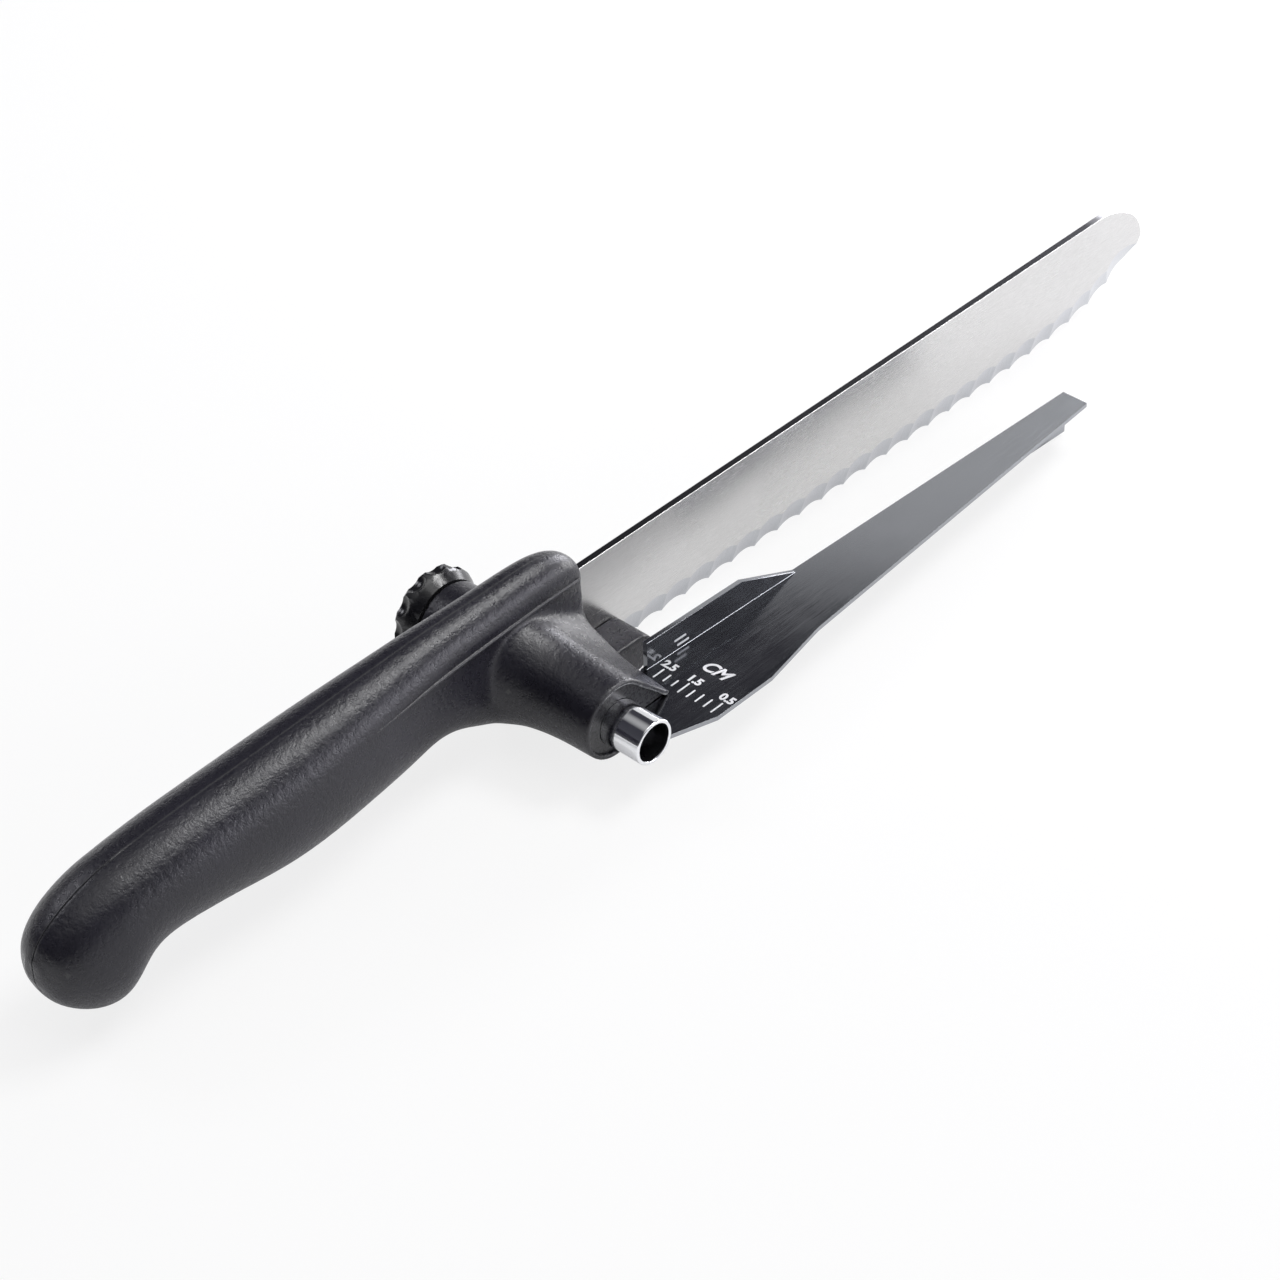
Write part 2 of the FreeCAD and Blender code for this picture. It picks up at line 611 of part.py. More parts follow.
def knob_screw():
    """Pan head screw that holds the knob on the spindle."""
    seat = screw_seat()
    shank = rod(SCREW_RADIUS, screw_start(), seat)
    head = rod(SCREW_HEAD_RADIUS, seat, seat + SCREW_HEAD)
    slot_half = SCREW_RADIUS / 3.0
    slot = block(V(AXIS_X - BIG, seat + SCREW_HEAD / 2.0, AXIS_Z - slot_half),
                 V(AXIS_X + BIG, seat + SCREW_HEAD + OVERCUT, AXIS_Z + slot_half))
    return shank.fuse(head).removeSplitter().cut(slot)


def knob_cap():
    """Disc that closes the knob's centre."""
    return rod(CAP_RADIUS, KNOB_OUTER - CAP_THICKNESS, KNOB_OUTER)


# ---------------------------------------------------------------- guide

def guide_tube():
    """Bright tube that slides in the horn."""
    body = sleeve(TUBE_RADIUS, TUBE_RADIUS - TUBE_WALL, TUBE_MOUTH, TUBE_END)
    rims = [edge for edge in body.Edges if edge.BoundBox.YMax < TUBE_MOUTH + TUBE_WALL]
    return body.makeFillet(TUBE_WALL * 0.4, rims)


def guide_nut():
    """Threaded insert in the tube's inner end, on the spindle's screw."""
    return sleeve(TUBE_RADIUS - TUBE_WALL, SPINDLE_RADIUS + RUNNING, TUBE_END - NUT_LENGTH, TUBE_END)


def plate_outline():
    """Plan of the guide plate, from the tube's side to its far end."""
    root_inner = TUBE_MOUTH + ROOT_LENGTH
    taper_edge = edge_y(TAPER_START) - TAPER_WIDTH
    return [
        (AXIS_X, TUBE_MOUTH + TUBE_WALL),
        (AXIS_X + TUBE_RADIUS, TUBE_MOUTH + TUBE_WALL),
        (0, GUIDE_SIDE),
        (SCALE_LENGTH, GUIDE_SIDE),
        (TAPER_START, taper_edge),
        (GUIDE_END, edge_y(GUIDE_END) - END_WIDTH),
        (GUIDE_END, edge_y(GUIDE_END)),
        (LIP_START / 2.0, edge_y(LIP_START / 2.0)),
        (AXIS_X + TUBE_RADIUS, root_inner),
        (AXIS_X, root_inner),
    ]


def guide_plate():
    """Sheet guide: plate, upturned lip and down-turned flange."""
    flat = prism(plate_outline(), PLATE_BOTTOM, PLATE_TOP)
    flat = flat.cut(rod(TUBE_RADIUS, -BIG, BIG))
    lip = wall_behind_edge(LIP_START, LIP_END, PLATE_BOTTOM, PLATE_TOP + LIP_HEIGHT)
    slope = Part.Face(Part.makePolygon([
        V(LIP_LEVEL_END, 0, PLATE_TOP + LIP_HEIGHT),
        V(LIP_END, 0, PLATE_TOP),
        V(LIP_END, 0, PLATE_TOP + 2.0 * LIP_HEIGHT),
        V(LIP_LEVEL_END, 0, PLATE_TOP + 2.0 * LIP_HEIGHT),
        V(LIP_LEVEL_END, 0, PLATE_TOP + LIP_HEIGHT),
    ])).extrude(V(0, -BIG, 0))
    flange = wall_behind_edge(FLANGE_START, GUIDE_END, PLATE_TOP - FLANGE_DEPTH, PLATE_TOP)
    return flat.fuse([lip.cut(slope), flange]).removeSplitter()


# ---------------------------------------------------------------- all pieces

PIECES = {
    "blade": blade,
    "tang_pins": tang_pins,
    "handle_left": handle_left,
    "handle_right": handle_right,
    "guide_bush": guide_bush,
    "knob_bearing": knob_bearing,
    "thrust_washer": thrust_washer,
    "spring_washer": spring_washer,
    "spindle": spindle,
    "end_clip": end_clip,
    "knob": knob,
    "knob_screw": knob_screw,
    "knob_cap": knob_cap,
    "guide_tube": guide_tube,
    "guide_nut": guide_nut,
    "guide_plate": guide_plate,
}

for node, make in PIECES.items():
    save(make(), node)
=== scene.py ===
import json
import math

import bpy
import bmesh
from mathutils import Matrix, Vector
from mathutils.bvhtree import BVHTree
from mathutils.kdtree import KDTree


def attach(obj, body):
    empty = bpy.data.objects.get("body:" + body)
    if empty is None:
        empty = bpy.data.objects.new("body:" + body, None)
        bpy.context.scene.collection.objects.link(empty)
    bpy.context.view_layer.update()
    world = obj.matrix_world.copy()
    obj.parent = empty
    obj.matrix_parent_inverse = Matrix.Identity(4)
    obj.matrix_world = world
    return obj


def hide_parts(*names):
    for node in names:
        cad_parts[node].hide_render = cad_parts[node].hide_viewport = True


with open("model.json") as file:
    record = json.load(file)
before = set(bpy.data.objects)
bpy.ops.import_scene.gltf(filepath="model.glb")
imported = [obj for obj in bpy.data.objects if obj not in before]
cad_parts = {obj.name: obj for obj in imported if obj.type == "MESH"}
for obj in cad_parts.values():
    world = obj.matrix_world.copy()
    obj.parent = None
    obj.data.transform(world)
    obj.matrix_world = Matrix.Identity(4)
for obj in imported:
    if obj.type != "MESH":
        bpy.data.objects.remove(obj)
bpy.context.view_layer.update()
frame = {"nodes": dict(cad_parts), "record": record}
NODES = frame["nodes"]
SLOTS = {row["node"]: row["material_slot"] for row in frame["record"]["subparts"]}

# The part's drawing is in millimetres, with +X to the tip, +Y to the knob's side and +Z up. Its
# origin is on the blade's middle plane, at the spine, where the handle ends.
ORIGIN = Vector((-29.2, 7.7, 30.0))
MM = 0.001
AXIS_X, AXIS_Z = -17.3, -15.6   # the tube's and the knob's axis, which runs along Y
PLATE_TOP = -17.5


def at(x, y, z):
    """A place on the drawing, in millimetres, as a place in the frame, in metres."""
    return (Vector((x, y, z)) + ORIGIN) * MM


def drawing(place):
    """A place in the frame, in metres, as a place on the drawing, in millimetres."""
    return Vector(place) / MM - ORIGIN


def from_axis(place):
    """How far a place on the drawing is from the tube's axis."""
    return math.hypot(place.x - AXIS_X, place.z - AXIS_Z)


# ---------------------------------------------------------------- camera
CAMERA_AZIMUTH = math.radians(-46.45)
CAMERA_HEIGHT = math.radians(39.23)
CAMERA_ROLL = math.radians(-1.26)
CAMERA_PLACE = at(-413.9, -414.3, 457.8)
FOCAL_PIXELS = 3348.3
PICTURE = 1280.0
SENSOR = 36.0


def make_camera():
    back = Vector((math.sin(CAMERA_AZIMUTH) * math.cos(CAMERA_HEIGHT),
                   -math.cos(CAMERA_AZIMUTH) * math.cos(CAMERA_HEIGHT),
                   math.sin(CAMERA_HEIGHT)))
    right = (-back).cross(Vector((0, 0, 1))).normalized()
    up = right.cross(-back)
    cos_roll, sin_roll = math.cos(CAMERA_ROLL), math.sin(CAMERA_ROLL)
    right, up = right * cos_roll + up * sin_roll, up * cos_roll - right * sin_roll
    data = bpy.data.cameras.new("camera")
    data.sensor_width = SENSOR
    data.lens = FOCAL_PIXELS * SENSOR / PICTURE
    data.clip_start = 0.01
    camera = bpy.data.objects.new("camera", data)
    bpy.context.scene.collection.objects.link(camera)
    turn = Matrix((right, up, back)).transposed().to_4x4()
    camera.matrix_world = Matrix.Translation(CAMERA_PLACE) @ turn
    bpy.context.scene.camera = camera


# ---------------------------------------------------------------- materials
# name, colour, roughness, stretch of the grinding lines, their depth in metres, contrast
STEELS = (
    ("blade_steel", (0.665, 0.66, 0.655), 0.24, (500, 500, 6000), 4e-6, 0.12),
    ("guide_steel", (0.35, 0.36, 0.38), 0.14, (90, 3500, 3500), 1.0e-6, 0.06),
    ("ground_steel", (0.54, 0.55, 0.575), 0.20, (5000, 900, 300), 3e-6, 0.12),
    # the spine: the blade's own steel, painted dark as a reflection of dark surroundings
    ("spine_painted_reflection", (0.03, 0.03, 0.035), 0.34, (250, 3000, 3000), 4e-6, 0.12),
    # painted highlight: a near-white steel on the spine's rounded top edges
    ("edge_painted_highlight", (0.95, 0.95, 0.95), 0.42, (500, 500, 6000), 4e-6, 0.12),
    ("plain_steel", (0.62, 0.62, 0.63), 0.26, (3000, 600, 3000), 4e-6, 0.12),
    ("tube_chrome", (0.90, 0.91, 0.93), 0.09, (900, 300, 900), 1e-6, 0.03),
    # the bore: a duller finish, and its dark colour is painted shade inside the tube
    ("bore_painted_shade", (0.16, 0.16, 0.17), 0.30, (600, 300, 600), 3e-6, 0.12),
    ("bearing_brass", (0.72, 0.50, 0.22), 0.28, (2500, 600, 2500), 4e-6, 0.12),
)
# name, colour, roughness, scale of the grain, its depth in metres, specular level, grey of the
# painted highlight along sharp edges
PLASTICS = (
    ("handle_plastic", (0.0140, 0.0133, 0.0200), 0.29, 2280.0, 1.7e-4, 0.50, 0.05),
    ("bush_plastic", (0.020, 0.020, 0.023), 0.28, 4200.0, 1.0e-5, 0.5, 0.06),
    ("knob_plastic", (0.009, 0.009, 0.011), 0.20, 4200.0, 1.2e-5, 0.6, 0.10),
    ("scale_white", (0.74, 0.74, 0.76), 0.50, 5200.0, 8e-6, 0.5, 0.0),
)
# painted reflection on the spine: dark along most of it, light near the tip
SPINE_PAINTED_DARK, SPINE_PAINTED_LIGHT = (0.03, 0.03, 0.035), (0.45, 0.45, 0.46)
SPINE_FADE = (0.1615, 0.1710)   # where the spine turns light, in metres along the frame's X
NOISE_CORE = (0.3, 0.7)         # nearly all values of a noise lie between these


def new_material(name):
    material = bpy.data.materials.new(name)
    material.use_nodes = True
    tree = material.node_tree
    tree.nodes.clear()
    out = tree.nodes.new("ShaderNodeOutputMaterial")
    shader = tree.nodes.new("ShaderNodeBsdfPrincipled")
    tree.links.new(shader.outputs["BSDF"], out.inputs["Surface"])
    return material, tree, shader


def coordinates(tree, scale=(1, 1, 1)):
    place = tree.nodes.new("ShaderNodeTexCoord")
    mapping = tree.nodes.new("ShaderNodeMapping")
    mapping.inputs["Scale"].default_value = scale
    tree.links.new(place.outputs["Object"], mapping.inputs["Vector"])
    return mapping.outputs["Vector"]


def noise(tree, vector, scale, detail, rough):
    node = tree.nodes.new("ShaderNodeTexNoise")
    node.inputs["Scale"].default_value = scale
    node.inputs["Detail"].default_value = detail
    node.inputs["Roughness"].default_value = rough
    tree.links.new(vector, node.inputs["Vector"])
    return node.outputs["Fac"]


def ramp(tree, value, stops):
    """A colour ramp from its stops, each (position, colour)."""
    node = tree.nodes.new("ShaderNodeValToRGB")
    bar = node.color_ramp
    bar.elements[0].position, bar.elements[0].color = stops[0][0], (*stops[0][1], 1)
    bar.elements[1].position, bar.elements[1].color = stops[-1][0], (*stops[-1][1], 1)
    for place, colour in stops[1:-1]:
        bar.elements.new(place).color = (*colour, 1)
    tree.links.new(value, node.inputs["Fac"])
    return node.outputs["Color"]


def spread(tree, value, low, high, source=(0.0, 1.0)):
    """A value mapped from the source range to the range from low to high."""
    node = tree.nodes.new("ShaderNodeMapRange")
    node.inputs["From Min"].default_value, node.inputs["From Max"].default_value = source
    node.inputs["To Min"].default_value = low
    node.inputs["To Max"].default_value = high
    tree.links.new(value, node.inputs["Value"])
    return node.outputs["Result"]


def feed(tree, socket, value):
    """Sets a socket to a plain number, or links it to another socket."""
    if isinstance(value, (int, float)):
        socket.default_value = value
    else:
        tree.links.new(value, socket)


def arithmetic(tree, operation, *values):
    node = tree.nodes.new("ShaderNodeMath")
    node.operation = operation
    for socket, value in zip(node.inputs, values):
        feed(tree, socket, value)
    return node.outputs["Value"]


def mix_colours(tree, share, first, second):
    """The first colour where the share is 0, and the second, a plain colour or a socket, at 1."""
    node = tree.nodes.new("ShaderNodeMix")
    node.data_type = "RGBA"
    tree.links.new(share, node.inputs[0])
    tree.links.new(first, node.inputs[6])
    if isinstance(second, tuple):
        node.inputs[7].default_value = second
    else:
        tree.links.new(second, node.inputs[7])
    return node.outputs[2]


def bump(tree, shader, heights):
    """Stacked bumps, each (value, strength, distance in metres)."""
    normal = None
    for value, strength, distance in heights:
        node = tree.nodes.new("ShaderNodeBump")
        node.inputs["Strength"].default_value = strength
        node.inputs["Distance"].default_value = distance
        tree.links.new(value, node.inputs["Height"])
        if normal is not None:
            tree.links.new(normal, node.inputs["Normal"])
        normal = node.outputs["Normal"]
    tree.links.new(normal, shader.inputs["Normal"])


def shade(colour, gain):
    return tuple(channel * gain for channel in colour)


def plastic(name, colour, rough, grain, grain_depth, specular, painted_edge_highlight):
    """Moulded plastic: grain, faint clouding of the colour, uneven gloss and a painted highlight
    along its sharp edges.
    """
    material, tree, shader = new_material(name)
    where = coordinates(tree)
    cloud = noise(tree, where, 60.0, 5.0, 0.6)
    tint = ramp(tree, cloud,
                [(0.30, shade(colour, 0.82)), (0.55, colour), (0.75, shade(colour, 1.22))])
    # painted highlight: pointy, sharp edges are mixed toward a light grey
    if painted_edge_highlight:
        shape = tree.nodes.new("ShaderNodeNewGeometry")
        edge = spread(tree, shape.outputs["Pointiness"], 0.0, 1.0, (0.515, 0.60))
        tint = mix_colours(tree, edge, tint, (painted_edge_highlight, painted_edge_highlight, painted_edge_highlight * 1.04, 1))
    tree.links.new(tint, shader.inputs["Base Color"])
    fine = noise(tree, where, grain, 3.0, 0.6)
    soft = noise(tree, where, grain * 0.36, 3.0, 0.5)
    tree.links.new(spread(tree, soft, rough - 0.05, rough + 0.06, NOISE_CORE),
                   shader.inputs["Roughness"])
    shader.inputs["Specular IOR Level"].default_value = specular
    bump(tree, shader, [(fine, 0.5, grain_depth), (soft, 0.5, grain_depth * 1.6)])
    return material


def steel(name, colour, rough, stretch, depth, contrast):
    """Steel with grinding lines, which run along the axes whose stretch is small."""
    material, tree, shader = new_material(name)
    lines = noise(tree, coordinates(tree, stretch), 1.0, 6.0, 0.65)
    cloud = noise(tree, coordinates(tree), 45.0, 4.0, 0.55)
    tint = ramp(tree, lines, [(0.30, shade(colour, 1.0 - contrast)),
                              (0.70, shade(colour, 1.0 + contrast * 0.5))])
    tree.links.new(tint, shader.inputs["Base Color"])
    shader.inputs["Metallic"].default_value = 1.0
    gloss = arithmetic(tree, "ADD", spread(tree, lines, -0.05, 0.05, NOISE_CORE),
                       spread(tree, cloud, rough - 0.03, rough + 0.04, NOISE_CORE))
    tree.links.new(gloss, shader.inputs["Roughness"])
    bump(tree, shader, [(lines, 0.35, depth)])
    return material


def make_materials():
    made = {row[0]: steel(*row) for row in STEELS}
    made.update({row[0]: plastic(*row) for row in PLASTICS})
    return made


def fade_spine(material):
    """Painted reflection: the spine's colour runs from a painted dark reflection to a painted light
    one near the blade's tip.
    """
    tree = material.node_tree
    shader = next(node for node in tree.nodes if node.type == "BSDF_PRINCIPLED")
    split = tree.nodes.new("ShaderNodeSeparateXYZ")
    tree.links.new(coordinates(tree), split.inputs["Vector"])
    tint = ramp(tree, split.outputs["X"],
                [(SPINE_FADE[0], SPINE_PAINTED_DARK), (SPINE_FADE[1], SPINE_PAINTED_LIGHT)])
    tree.links.new(tint, shader.inputs["Base Color"])


def dress_nodes(materials):
    for node, slot in SLOTS.items():
        slots = NODES[node].data.materials
        slots.clear()
        slots.append(materials[slot])


# ---------------------------------------------------------------- pieces from the nodes
WELD = 2e-6             # metres, points nearer than this are one
SHARP_DEGREES = 38      # edges that turn by more than this get their rounds
FLAT_DEGREES = 0.4      # faces that turn by less than this are joined first
SMOOTH_DEGREES = 32
BLADE_SMOOTH_DEGREES = 13
BEND_LENGTH = 10        # a plate's bend is longer than this
SPINE_EDGES = -4        # the blade's edges above this are rounded
SPINE_FACES = -6        # and its faces above this belong to the spine
GROUND_BELOW = -8       # its ground band lies below this
GROUND_START = 8        # and ahead of this
TUBE_END = -16          # the tube's inner end lies past this along Y
TUBE_RADIUS = 5.2       # its outside edges lie beyond this radius,
BORE_RADIUS = 5.0       # and its bore inside this one
BORE_END = -40.85       # the tube's face ahead of this along Y isn't part of the bore


def add_object(name, mesh, material, body):
    piece = bpy.data.objects.new(name, mesh)
    bpy.context.scene.collection.objects.link(piece)
    piece.data.materials.clear()
    piece.data.materials.append(material)
    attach(piece, body)
    return piece


def bake(piece):
    """Applies the piece's modifiers."""
    graph = bpy.context.evaluated_depsgraph_get()
    mesh = bpy.data.meshes.new_from_object(piece.evaluated_get(graph))
    piece.modifiers.clear()
    old = piece.data
    piece.data = mesh
    bpy.data.meshes.remove(old)


def welded(node):
    shape = bmesh.new()
    shape.from_mesh(NODES[node].data)
    bmesh.ops.remove_doubles(shape, verts=shape.verts, dist=WELD)
    return shape


def finish_mesh(name, shape, smooth_degrees):
    mesh = bpy.data.meshes.new(name)
    shape.to_mesh(mesh)
    shape.free()
    mesh.shade_smooth()
    mesh.set_sharp_from_angle(angle=math.radians(smooth_degrees))
    return mesh


def middle(edge):
    """The middle of an edge on the drawing."""
    return drawing((edge.verts[0].co + edge.verts[1].co) / 2)


def edges_where(shape, test):
    """The edges between two faces that pass a test."""
    return [edge for edge in shape.edges if len(edge.link_faces) == 2 and test(edge)]


def is_sharp(edge):
    return edge.calc_face_angle(0) > math.radians(SHARP_DEGREES)


def is_bend(edge):
    return (edge.calc_length() > BEND_LENGTH * MM
            and edge.calc_face_angle_signed(0) < -math.radians(SHARP_DEGREES))


def rounded(node, body, material, width, pick=None, smooth_degrees=SMOOTH_DEGREES, bend=0.0,
            clean=True, chamfer=0.0, chamfered=None):
    """A copy of a node with its sharp edges rounded, as tumbling or polishing leaves them."""
    shape = welded(node)
    if clean:
        bmesh.ops.dissolve_limit(shape, angle_limit=math.radians(FLAT_DEGREES),
                                 verts=shape.verts, edges=shape.edges)
    if bend:
        bmesh.ops.bevel(shape, geom=edges_where(shape, is_bend), offset=bend * MM, segments=5,
                        profile=0.5, affect="EDGES", clamp_overlap=True)
    if chamfer:
        end = edges_where(shape, lambda edge: is_sharp(edge) and chamfered(middle(edge)))
        bmesh.ops.bevel(shape, geom=end, offset=chamfer * MM, segments=1, affect="EDGES",
                        clamp_overlap=True)
    sharp = edges_where(shape, lambda edge: is_sharp(edge) and (pick is None or pick(middle(edge))))
    bmesh.ops.bevel(shape, geom=sharp, offset=width * MM, segments=2, profile=0.6,
                    affect="EDGES", clamp_overlap=True)
    bmesh.ops.dissolve_degenerate(shape, dist=WELD, edges=shape.edges)
    name = node + "_finished"
    piece = add_object(name, finish_mesh(name, shape, smooth_degrees), material, body)
    even = piece.modifiers.new("even", "WEIGHTED_NORMAL")
    even.weight = 90
    even.keep_sharp = True
    bake(piece)
    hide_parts(node)
    return piece


def blade_finish(place, normal):
    """The blade's finish at a face: 1 is its spine, with a painted reflection, 2 its ground band
    and 3 its top edges, with a painted highlight.
    """
    if normal.z > 0.6 and abs(normal.y) < 0.2 and place.z > SPINE_FACES:
        return 1
    # the rounded top edges get the painted highlight
    if normal.z > 0.3 and place.z > SPINE_FACES:
        return 3
    in_band = place.x > GROUND_START and place.z < GROUND_BELOW
    if 0.05 < abs(normal.z) < 0.7 and normal.y < -0.5 and in_band:
        return 2
    return 0


def tube_finish(place, normal):
    """The tube's finish at a face: 1 is its bore, darkened with painted shade."""
    return 1 if from_axis(place) < BORE_RADIUS and place.y > BORE_END else 0


def add_finishes(piece, materials, choose):
    for material in materials:
        piece.data.materials.append(material)
    for face in piece.data.polygons:
        face.material_index = choose(drawing(face.center), face.normal)


# ---------------------------------------------------------------- handle
GRID = 0.45                 # the remeshed handle's voxels, in millimetres like the rest
HORN_ROOT = (-8.6, -2.6)    # where the horn grows out of the handle, along Y
BOSS_ROOT = (3.3, 8.0)      # and the knob's boss
ROOT_RADIUS = 8.3           # roots lie outside this radius from the axis
PLATE_SLOT = (-12, -18.1, 3.5)  # start, middle height and half height of the plate's room
ROOT_INNER = 1.2            # roots are fully softened this near their crease,
ROOT_OUTER = 5.2            # and not at all beyond this
ROOT_ROUNDS = 70
CREASE_DEGREES = 12
EDGE_DEGREES = 22
EDGE_ROUNDS = 5
BORE_ROOM = 7.6             # radius of the rooms of the tube and the spindle
JOINT_BAND = 0.5            # points this near the halves' joint keep their place
ON_JOINT = 0.02             # points this near the joint lie on it
HANDLE_SMOOTH_DEGREES = 42
SIDEWAYS = 0.95             # a face whose normal has more Y than this is part of the cut
SEAM_START = -124           # the seam shows behind this place
SEAM_TAPER = 12
SEAM_DEPTH = 0.22
RIDGE = ((-1.6, 4.0, 0.5), (-5.9, 4.49, 1.2), (-12.4, 4.88, 1.59), (-24.0, 5.56, 1.8),
         (-36.3, 6.47, 2.1), (-50.2, 7.69, 2.34), (-58.7, 8.42, 2.01), (-68.0, 9.15, 1.65))
BEAD_RADIUS = 0.58
BEAD_END, BEAD_TAPER = -72.0, 25.0  # the beads thin out over this length before this place


def in_bore(place):
    """The rooms of the tube and the spindle, where pieces move and no corner is softened."""
    return from_axis(drawing(place)) < BORE_ROOM


def at_root(place, root):
    """Whether a place lies where the horn or the boss grows out of the handle."""
    return root[0] < place.y < root[1] and from_axis(place) > ROOT_RADIUS


def horn_root(place):
    start, height, half = PLATE_SLOT
    in_slot = place.x > start and abs(place.z - height) < half
    return at_root(place, HORN_ROOT) and not in_slot and place.x < -1.5


def point_tree(places):
    tree = KDTree(len(places))
    for index, place in enumerate(places):
        tree.insert(place, index)
    tree.balance()
    return tree


def crease_tree(shape):
    """The creases at the roots of the horn and the boss, as a tree of places."""
    places = []
    limit = -math.radians(CREASE_DEGREES)
    for edge in edges_where(shape, lambda edge: edge.calc_face_angle_signed(0) < limit):
        if horn_root(middle(edge)) or at_root(middle(edge), BOSS_ROOT):
            start, end = edge.verts[0].co, edge.verts[1].co
            places += [start.lerp(end, t) for t in (0.0, 0.5, 1.0)]
    return point_tree(places)


def smooth_group(whole, name, rounds):
    """Smooths the handle's points by their weights in a group."""
    soften = whole.modifiers.new(name, "SMOOTH")
    soften.factor = 0.5
    soften.iterations = rounds
    soften.vertex_group = name
    bake(whole)


def handle_grid():
    """Both shells in one even mesh, on the nodes' own surfaces, with soft roots and edges."""
    shape = welded("handle_right")
    shape.from_mesh(NODES["handle_left"].data)
    bmesh.ops.remove_doubles(shape, verts=shape.verts, dist=WELD)
    creases = crease_tree(shape)
    surface = BVHTree.FromBMesh(shape)
    mesh = bpy.data.meshes.new("handle_grid")
    shape.to_mesh(mesh)
    shape.free()
    whole = bpy.data.objects.new("handle_grid", mesh)
    bpy.context.scene.collection.objects.link(whole)
    remesh = whole.modifiers.new("grid", "REMESH")
    remesh.mode = "VOXEL"
    remesh.voxel_size = GRID * MM
    bake(whole)
    near = whole.vertex_groups.new(name="root")
    for vertex in whole.data.vertices:
        distance = creases.find(vertex.co)[2] / MM
        weight = min(1.0, max(0.0, (ROOT_OUTER - distance) / (ROOT_OUTER - ROOT_INNER)))
        if in_bore(vertex.co):
            weight = 0.0
        if weight > 0.0:
            near.add([vertex.index], weight * weight * (3 - 2 * weight), "REPLACE")
        elif abs(drawing(vertex.co).y) > JOINT_BAND:
            vertex.co = surface.find_nearest(vertex.co)[0]
    smooth_group(whole, "root", ROOT_ROUNDS)
    soften_edges(whole)
    return whole


def soften_edges(whole):
    """Small rounds along all the sharp edges, by smoothing the points on and beside them."""
    shape = bmesh.new()
    shape.from_mesh(whole.data)
    weights = {}
    limit = math.radians(EDGE_DEGREES)
    for edge in edges_where(shape, lambda edge: edge.calc_face_angle(0) > limit):
        if in_bore(edge.verts[0].co):
            continue
        for vertex in edge.verts:
            weights[vertex.index] = 1.0
            for side in vertex.link_edges:
                weights.setdefault(side.other_vert(vertex).index, 0.5)
    shape.free()
    group = whole.vertex_groups.new(name="edge")
    for index, weight in weights.items():
        group.add([index], weight, "REPLACE")
    smooth_group(whole, "edge", EDGE_ROUNDS)


def cut_half(whole, keep):
    """The handle's half on the right (-1) or the left (1), closed along the joint."""
    half = bmesh.new()
    half.from_mesh(whole.data)
    cut = bmesh.ops.bisect_plane(half, geom=half.verts[:] + half.edges[:] + half.faces[:],
                                 dist=1e-7, plane_co=at(0, 0, 0), plane_no=(0, -keep, 0),
                                 clear_outer=True)
    rim = [item for item in cut["geom_cut"] if isinstance(item, bmesh.types.BMEdge)]
    bmesh.ops.triangle_fill(half, use_beauty=True, use_dissolve=False, edges=rim)
    bmesh.ops.recalc_face_normals(half, faces=half.faces)
    return half


def sink_seam(half):
    """The fine groove where the halves meet round the butt."""
    for vertex in half.verts:
        place = drawing(vertex.co)
        if abs(place.y) < ON_JOINT and place.x < SEAM_START:
            depth = min(1.0, (SEAM_START - place.x) / SEAM_TAPER) * SEAM_DEPTH * MM
            outward = Vector((0, 0, 0))
            for face in vertex.link_faces:
                if abs(face.normal.y) < SIDEWAYS:
                    outward += face.normal
            if outward.length > 0:
                vertex.co -= outward.normalized() * depth


def even_seam(mesh, whole, points):
    """The halves share one normal along their joint on top, so that it doesn't break the gloss."""
    normals = [corner.vector.copy() for corner in mesh.corner_normals]
    for face in mesh.polygons:
        if abs(face.normal.y) > SIDEWAYS:
            continue
        for index in face.loop_indices:
            place = mesh.vertices[mesh.loops[index].vertex_index].co
            if abs(drawing(place).y) < ON_JOINT and drawing(place).x > SEAM_START:
                normal = Vector((0, 0, 0))
                for _, near, distance in points.find_n(place, 3):
                    normal += whole.vertices[near].normal / (distance + 1e-7)
                normals[index] = normal.normalized()
    mesh.normals_split_custom_set(normals)


def moulded_handle(material):
    """The two handle shells, cut from one grid along their joint."""
    whole = handle_grid()
    points = point_tree([vertex.co for vertex in whole.data.vertices])
    for node, keep in (("handle_right", -1), ("handle_left", 1)):
        half = cut_half(whole, keep)
        sink_seam(half)
        name = node + "_moulded"
        piece = add_object(name, finish_mesh(name, half, HANDLE_SMOOTH_DEGREES), material, "handle")
        even_seam(piece.data, whole.data, points)
        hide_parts(node)
    bpy.data.objects.remove(whole)


def mesh_of(thing):
    """The mesh that a curve or text makes. The object itself is removed."""
    bpy.context.scene.collection.objects.link(thing)
    bpy.context.view_layer.update()
    graph = bpy.context.evaluated_depsgraph_get()
    mesh = bpy.data.meshes.new_from_object(thing.evaluated_get(graph))
    bpy.data.objects.remove(thing)
    return mesh


def ridge_beads(material):
    """The raised joint lines that run back from the blade, one on each side of the handle."""
    for side, node in ((-1, "handle_right"), (1, "handle_left")):
        surface = BVHTree.FromPolygons([vertex.co for vertex in NODES[node].data.vertices],
                                       [face.vertices[:] for face in NODES[node].data.polygons])
        curve = bpy.data.curves.new("line", "CURVE")
        curve.dimensions = "3D"
        curve.bevel_depth = 1.0
        curve.bevel_resolution = 3
        curve.resolution_u = 10
        curve.use_fill_caps = True
        line = curve.splines.new("BEZIER")
        line.bezier_points.add(len(RIDGE) - 1)
        for point, (x, y, z) in zip(line.bezier_points, RIDGE):
            point.co = surface.find_nearest(at(x, side * y, z))[0]
            point.handle_left_type = point.handle_right_type = "AUTO"
            point.radius = BEAD_RADIUS * MM * min(1.0, (x - BEAD_END) / BEAD_TAPER)
        mesh = mesh_of(bpy.data.objects.new("line", curve))
        mesh.shade_smooth()
        name = "joint_line_" + ("right" if side < 0 else "left")
        add_object(name, mesh, material, "handle")


